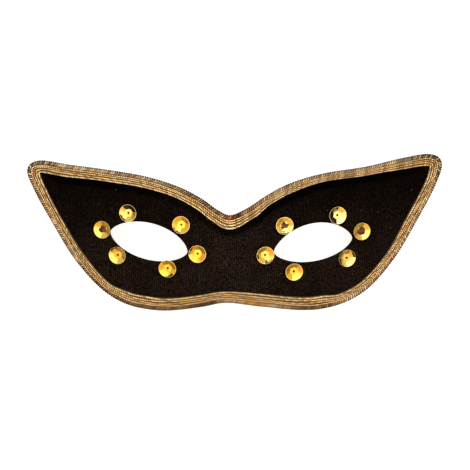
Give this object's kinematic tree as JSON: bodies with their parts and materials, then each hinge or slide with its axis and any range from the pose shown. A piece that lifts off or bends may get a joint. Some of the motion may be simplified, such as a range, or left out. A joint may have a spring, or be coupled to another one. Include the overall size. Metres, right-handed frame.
{
  "type": "butterfly half mask",
  "caption": "Half mask with upswept wing corners in black ribbed cloth, bound in gold braid, with slanted eye holes ringed by gold cup sequins.",
  "frame": {"origin": "middle of the box over the whole mask, on the surface that it rests on, face up", "axes": "+X to the wearer's left, as seen from the front to the right; +Y to the upper edge; +Z out of the front of the mask"},
  "size_m": [0.19, 0.0718, 0.0257],
  "materials": {
    "black_cloth": "fine ribbed knit, warm black, with a soft sheen",
    "gold_braid": "metallic gold gimp braid with rows of wrapped cord",
    "gold_sequin": "glossy metallised gold"
  },
  "bodies": {
    "root": {"mask_face": "black_cloth", "edge_braid": "gold_braid", "sequin_left_1": "gold_sequin", "sequin_left_2": "gold_sequin", "sequin_left_3": "gold_sequin", "sequin_left_4": "gold_sequin", "sequin_left_5": "gold_sequin", "sequin_left_6": "gold_sequin", "sequin_right_1": "gold_sequin", "sequin_right_2": "gold_sequin", "sequin_right_3": "gold_sequin", "sequin_right_4": "gold_sequin", "sequin_right_5": "gold_sequin", "sequin_right_6": "gold_sequin"}
  },
  "joints": []
}
